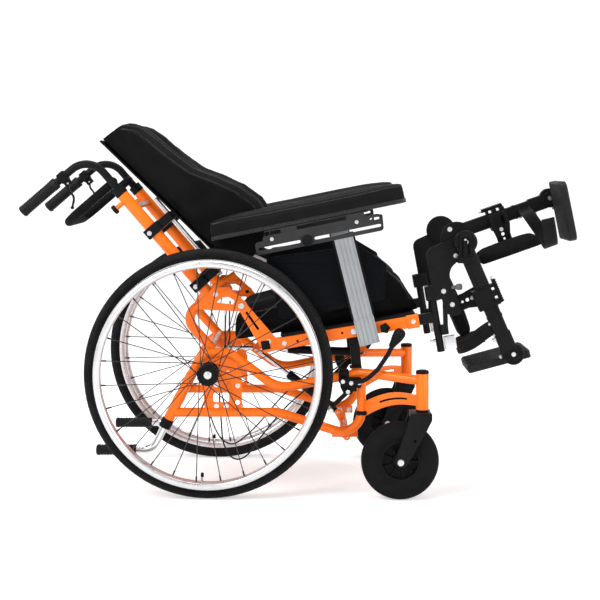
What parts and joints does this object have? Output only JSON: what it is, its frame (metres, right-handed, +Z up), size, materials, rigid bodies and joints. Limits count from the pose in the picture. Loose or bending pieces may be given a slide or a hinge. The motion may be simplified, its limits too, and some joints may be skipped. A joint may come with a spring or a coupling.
{
  "type": "pediatric positioning wheelchair",
  "caption": "Tilting and reclining child's wheelchair with a bent-tube base, spoked rear wheels, casters, winged back cushion, armrests and elevating leg rests.",
  "frame": {"origin": "on the floor, below the middle of the chair's length and width", "axes": "+X forward, +Y to the sitter's left, +Z up; the wheels stand on Z = 0"},
  "size_m": [1.4355, 0.585, 0.9277],
  "materials": {
    "frame_orange": "satin orange paint",
    "frame_black": "satin black paint",
    "plastic_black": "matte black",
    "rubber_black": "matte black",
    "tyre_rubber": "moulded black tread",
    "rim_silver": "polished",
    "chrome_steel": "bright chrome",
    "upright_aluminium": "grey anodised",
    "cushion_fabric": "black woven cover"
  },
  "bodies": {
    "base": {"base_frame_right": "frame_orange", "base_frame_left": "frame_orange", "base_cross_rear": "frame_orange", "base_cross_front": "frame_orange", "tilt_bridge": "frame_black", "wheel_lock_body_right": "plastic_black", "wheel_lock_body_left": "plastic_black"},
    "seat": {"seat_frame": "frame_orange", "seat_pan": "frame_black", "seat_cushion": "cushion_fabric", "release_cable_right": "rubber_black", "release_cable_left": "rubber_black"},
    "back": {"back_frame": "frame_orange", "back_shell": "plastic_black", "back_cushion": "cushion_fabric"},
    "push_bar": {"push_hoop": "rubber_black", "push_handle_right": "frame_black", "handle_grip_right": "rubber_black", "push_handle_left": "frame_black", "handle_grip_left": "rubber_black"},
    "tilt_cylinder": {"tilt_spring_cylinder": "frame_black"},
    "tilt_rod": {"tilt_spring_rod": "chrome_steel"},
    "recline_cylinder": {"recline_spring_cylinder": "frame_black"},
    "recline_rod": {"recline_spring_rod": "chrome_steel"},
    "release_lever_right": {"release_lever_right": "plastic_black"},
    "rear_wheel_right": {"rear_tyre_right": "tyre_rubber", "rear_wheel_right": "rim_silver", "handrim_right": "rim_silver"},
    "caster_fork_right": {"caster_fork_right": "frame_black"},
    "caster_wheel_right": {"caster_wheel_right": "tyre_rubber"},
    "tip_lever_right": {"tip_lever_right": "chrome_steel"},
    "lock_lever_right": {"wheel_lock_lever_right": "plastic_black"},
    "lock_shoe_right": {"wheel_lock_shoe_right": "frame_black"},
    "arm_right": {"arm_upright_right": "upright_aluminium", "side_guard_right": "plastic_black"},
    "arm_head_right": {"arm_bracket_right": "frame_black", "arm_pad_right": "cushion_fabric"},
    "leg_hanger_right": {"leg_hanger_right": "frame_black"},
    "leg_right": {"leg_upper_right": "frame_black", "calf_pad_right": "cushion_fabric"},
    "leg_end_right": {"leg_lower_right": "frame_black"},
    "foot_right": {"foot_plate_right": "plastic_black"},
    "release_lever_left": {"release_lever_left": "plastic_black"},
    "rear_wheel_left": {"rear_tyre_left": "tyre_rubber", "rear_wheel_left": "rim_silver", "handrim_left": "rim_silver"},
    "caster_fork_left": {"caster_fork_left": "frame_black"},
    "caster_wheel_left": {"caster_wheel_left": "tyre_rubber"},
    "tip_lever_left": {"tip_lever_left": "chrome_steel"},
    "lock_lever_left": {"wheel_lock_lever_left": "plastic_black"},
    "lock_shoe_left": {"wheel_lock_shoe_left": "frame_black"},
    "arm_left": {"arm_upright_left": "upright_aluminium", "side_guard_left": "plastic_black"},
    "arm_head_left": {"arm_bracket_left": "frame_black", "arm_pad_left": "cushion_fabric"},
    "leg_hanger_left": {"leg_hanger_left": "frame_black"},
    "leg_left": {"leg_upper_left": "frame_black", "calf_pad_left": "cushion_fabric"},
    "leg_end_left": {"leg_lower_left": "frame_black"},
    "foot_left": {"foot_plate_left": "plastic_black"}
  },
  "joints": [
    {"name": "seat_tilt", "type": "hinge", "parent": "base", "child": "seat", "pos_m": [0.1157, 0, 0.4016], "axis": [0, -1, 0], "range_deg": [-9.5, 13.5]},
    {"name": "back_recline", "type": "hinge", "parent": "seat", "child": "back", "pos_m": [-0.16228, 0, 0.46499], "axis": [0, -1, 0], "range_deg": [-16.4, 8.6]},
    {"name": "push_bar_height", "type": "slide", "parent": "back", "child": "push_bar", "axis": [-0.6547, 0, 0.7559], "range_m": [0, 0.08]},
    {"name": "tilt_spring_swing", "type": "hinge", "parent": "base", "child": "tilt_cylinder", "pos_m": [0.083, 0, 0.168], "axis": [0, -1, 0], "range_deg": [-20, 20]},
    {"name": "tilt_spring_travel", "type": "slide", "parent": "tilt_cylinder", "child": "tilt_rod", "axis": [-0.7958, 0, 0.6056], "range_m": [-0.06, 0.06]},
    {"name": "recline_spring_swing", "type": "hinge", "parent": "seat", "child": "recline_cylinder", "pos_m": [0.15028, 0.06, 0.31613], "axis": [0, -1, 0], "range_deg": [-20, 20]},
    {"name": "recline_spring_travel", "type": "slide", "parent": "recline_cylinder", "child": "recline_rod", "axis": [-0.9993, 0, 0.0377], "range_m": [-0.06, 0.06]},
    {"name": "rear_wheel_spin_right", "type": "hinge", "parent": "base", "child": "rear_wheel_right", "pos_m": [-0.2407, -0.245, 0.305], "axis": [0, -1, 0], "continuous": true},
    {"name": "caster_swivel_right", "type": "hinge", "parent": "base", "child": "caster_fork_right", "pos_m": [0.281, -0.257, 0], "axis": [0, 0, 1], "continuous": true},
    {"name": "caster_spin_right", "type": "hinge", "parent": "caster_fork_right", "child": "caster_wheel_right", "pos_m": [0.2264, -0.257, 0.095], "axis": [0, -1, 0], "continuous": true},
    {"name": "tip_lever_length_right", "type": "slide", "parent": "base", "child": "tip_lever_right", "axis": [-0.4597, 0, -0.8881], "range_m": [0, 0.03]},
    {"name": "wheel_lock_right", "type": "hinge", "parent": "base", "child": "lock_lever_right", "pos_m": [0.109, -0.2138, 0.27634], "axis": [0, -1, 0], "range_deg": [0, 40]},
    {"name": "lock_shoe_right", "type": "hinge", "parent": "base", "child": "lock_shoe_right", "pos_m": [0.101, -0.2138, 0.25504], "axis": [0, -1, 0], "range_deg": [0, 32]},
    {"name": "arm_height_right", "type": "slide", "parent": "seat", "child": "arm_right", "axis": [-0.2419, 0, 0.9703], "range_m": [0, 0.05]},
    {"name": "arm_depth_right", "type": "slide", "parent": "arm_right", "child": "arm_head_right", "axis": [0.9803, 0, 0.1977], "range_m": [0, 0.04]},
    {"name": "release_lever_right", "type": "hinge", "parent": "push_bar", "child": "release_lever_right", "pos_m": [-0.59425, -0.178, 0.76818], "axis": [0, -1, 0], "range_deg": [0, 12], "stiffness_Nm_per_rad": 0.4},
    {"name": "leg_swing_right", "type": "hinge", "parent": "seat", "child": "leg_hanger_right", "pos_m": [0.31956, -0.19, 0.43572], "axis": [0.165, 0, -0.9863], "range_deg": [0, 60]},
    {"name": "leg_elevation_right", "type": "hinge", "parent": "leg_hanger_right", "child": "leg_right", "pos_m": [0.39051, -0.2195, 0.62431], "axis": [0, -1, 0], "range_deg": [-13.5, 91.5]},
    {"name": "leg_length_right", "type": "slide", "parent": "leg_right", "child": "leg_end_right", "axis": [0.3907, 0, -0.9205], "range_m": [0, 0.035]},
    {"name": "foot_angle_right", "type": "hinge", "parent": "leg_end_right", "child": "foot_right", "pos_m": [0.50734, -0.2195, 0.34908], "axis": [0, -1, 0], "range_deg": [-12, 10]},
    {"name": "rear_wheel_spin_left", "type": "hinge", "parent": "base", "child": "rear_wheel_left", "pos_m": [-0.2407, 0.245, 0.305], "axis": [0, -1, 0], "continuous": true},
    {"name": "caster_swivel_left", "type": "hinge", "parent": "base", "child": "caster_fork_left", "pos_m": [0.281, 0.257, 0], "axis": [0, 0, 1], "continuous": true},
    {"name": "caster_spin_left", "type": "hinge", "parent": "caster_fork_left", "child": "caster_wheel_left", "pos_m": [0.2264, 0.257, 0.095], "axis": [0, -1, 0], "continuous": true},
    {"name": "tip_lever_length_left", "type": "slide", "parent": "base", "child": "tip_lever_left", "axis": [-0.4597, 0, -0.8881], "range_m": [0, 0.03]},
    {"name": "wheel_lock_left", "type": "hinge", "parent": "base", "child": "lock_lever_left", "pos_m": [0.109, 0.2138, 0.27634], "axis": [0, -1, 0], "range_deg": [0, 40]},
    {"name": "lock_shoe_left", "type": "hinge", "parent": "base", "child": "lock_shoe_left", "pos_m": [0.101, 0.2138, 0.25504], "axis": [0, -1, 0], "range_deg": [0, 32]},
    {"name": "arm_height_left", "type": "slide", "parent": "seat", "child": "arm_left", "axis": [-0.2419, 0, 0.9703], "range_m": [0, 0.05]},
    {"name": "arm_depth_left", "type": "slide", "parent": "arm_left", "child": "arm_head_left", "axis": [0.9803, 0, 0.1977], "range_m": [0, 0.04]},
    {"name": "release_lever_left", "type": "hinge", "parent": "push_bar", "child": "release_lever_left", "pos_m": [-0.59425, 0.178, 0.76818], "axis": [0, -1, 0], "range_deg": [0, 12], "stiffness_Nm_per_rad": 0.4},
    {"name": "leg_swing_left", "type": "hinge", "parent": "seat", "child": "leg_hanger_left", "pos_m": [0.31956, 0.19, 0.43572], "axis": [-0.165, 0, 0.9863], "range_deg": [0, 60]},
    {"name": "leg_elevation_left", "type": "hinge", "parent": "leg_hanger_left", "child": "leg_left", "pos_m": [0.39051, 0.2195, 0.62431], "axis": [0, -1, 0], "range_deg": [-99.7, 5.3]},
    {"name": "leg_length_left", "type": "slide", "parent": "leg_left", "child": "leg_end_left", "axis": [0.9444, 0, 0.3289], "range_m": [0, 0.035]},
    {"name": "foot_angle_left", "type": "hinge", "parent": "leg_end_left", "child": "foot_left", "pos_m": [0.67288, 0.2195, 0.72264], "axis": [0, -1, 0], "range_deg": [-12, 10]}
  ],
  "couplings": [
    {"joint": "tilt_spring_swing", "follows": "seat_tilt", "ratio": 0.5975},
    {"joint": "tilt_spring_travel", "follows": "seat_tilt", "m_per_rad": -0.2148},
    {"joint": "recline_spring_swing", "follows": "back_recline", "ratio": 0.158},
    {"joint": "recline_spring_travel", "follows": "back_recline", "m_per_rad": -0.1335},
    {"joint": "lock_shoe_right", "follows": "wheel_lock_right", "ratio": 0.8},
    {"joint": "lock_shoe_left", "follows": "wheel_lock_left", "ratio": 0.8}
  ]
}
